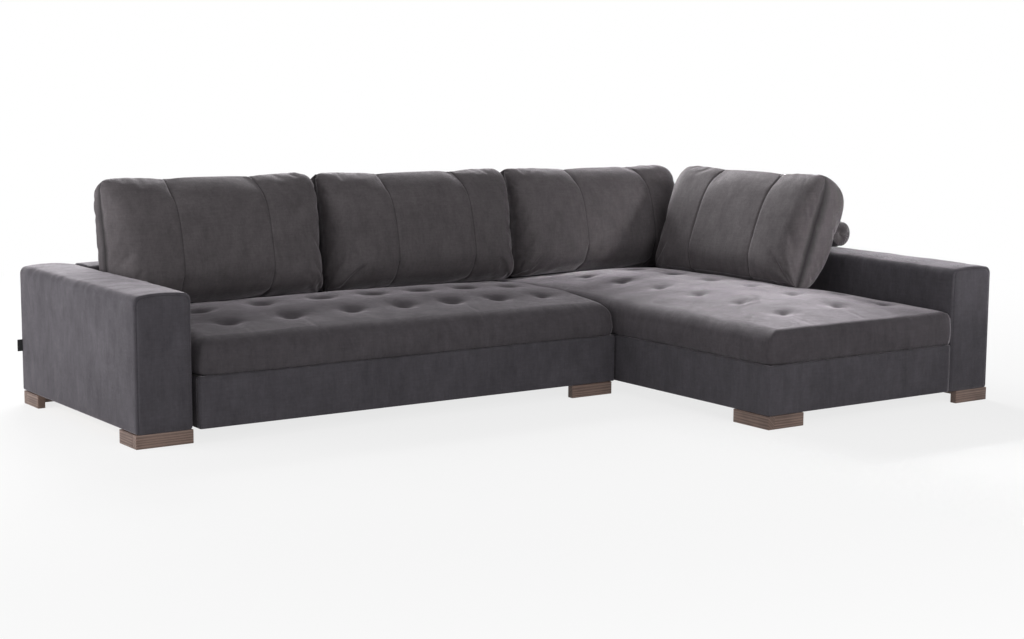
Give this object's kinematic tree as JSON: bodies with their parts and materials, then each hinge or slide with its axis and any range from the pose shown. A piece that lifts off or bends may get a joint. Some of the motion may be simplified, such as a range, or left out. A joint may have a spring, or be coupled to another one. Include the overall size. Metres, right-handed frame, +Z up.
{
  "type": "corner sofa with chaise",
  "caption": "Velvet L-shaped sofa: tufted bench seat beside a long chaise, low block arms, loose back cushions along two sides, a bolster and low wooden plank feet.",
  "frame": {"origin": "on the floor, in the middle of the whole footprint, which reaches from the left arm to the right arm and from the front of the chaise to the rear of the backs", "axes": "+X towards the right arm as seen by someone facing the sofa, -Y towards the front, +Z up"},
  "size_m": [3.5423, 2.196, 0.9628],
  "materials": {
    "velvet": "short-pile velvet, warm grey",
    "walnut": "satin lacquered walnut",
    "timber": "planed softwood, unfinished",
    "plywood": "plywood, unfinished",
    "lining": "black lining cloth",
    "webbing": "woven elastic strap",
    "steel": "zinc plated"
  },
  "bodies": {
    "sofa": {"left_arm_cover": "velvet", "left_arm_frame": "timber", "left_arm_bottom_board": "plywood", "right_arm_cover": "velvet", "right_arm_frame": "timber", "right_arm_bottom_board": "plywood", "bench_back_cover": "velvet", "bench_back_frame": "timber", "bench_back_bottom_board": "plywood", "chaise_back_cover": "velvet", "chaise_back_frame": "timber", "chaise_back_bottom_board": "plywood", "bench_front_rail": "timber", "bench_rear_rail": "timber", "bench_left_rail": "timber", "bench_right_rail": "timber", "bench_cross_rail_1": "timber", "bench_cross_rail_2": "timber", "bench_cross_rail_3": "timber", "bench_plinth": "velvet", "bench_webbing": "webbing", "bench_dust_cover": "lining", "chaise_front_rail": "timber", "chaise_rear_rail": "timber", "chaise_left_rail": "timber", "chaise_right_rail": "timber", "chaise_cross_rail_1": "timber", "chaise_cross_rail_2": "timber", "chaise_cross_rail_3": "timber", "chaise_front_plinth": "velvet", "chaise_side_plinth": "velvet", "chaise_webbing": "webbing", "chaise_dust_cover": "lining", "bench_seat": "velvet", "chaise_seat": "velvet", "left_arm_front_foot": "walnut", "left_arm_rear_foot": "walnut", "bench_front_foot": "walnut", "bench_rear_foot": "walnut", "chaise_front_foot": "walnut", "chaise_rear_foot": "walnut", "right_arm_front_foot": "walnut", "right_arm_rear_foot": "walnut", "arm_spacer_front": "plywood", "left_arm_bolt_front": "steel", "right_arm_bolt_front": "steel", "arm_spacer_rear": "plywood", "left_arm_bolt_rear": "steel", "right_arm_bolt_rear": "steel", "link_plate_front": "steel", "link_plate_rear": "steel", "blank_tab": "lining"},
    "back_cushion_1": {"back_cushion_1": "velvet"},
    "back_cushion_2": {"back_cushion_2": "velvet"},
    "back_cushion_3": {"back_cushion_3": "velvet"},
    "side_cushion": {"side_cushion": "velvet"},
    "bolster": {"bolster": "velvet"}
  },
  "joints": [
    {"name": "back_cushion_1_lift", "type": "slide", "parent": "sofa", "child": "back_cushion_1", "axis": [0, 0, 1], "range_m": [0, 0.25]},
    {"name": "back_cushion_2_lift", "type": "slide", "parent": "sofa", "child": "back_cushion_2", "axis": [0, 0, 1], "range_m": [0, 0.25]},
    {"name": "back_cushion_3_lift", "type": "slide", "parent": "sofa", "child": "back_cushion_3", "axis": [0, 0, 1], "range_m": [0, 0.25]},
    {"name": "side_cushion_lift", "type": "slide", "parent": "sofa", "child": "side_cushion", "axis": [0, 0, 1], "range_m": [0, 0.25]},
    {"name": "bolster_lift", "type": "slide", "parent": "sofa", "child": "bolster", "axis": [0, 0, 1], "range_m": [0, 0.25]}
  ]
}
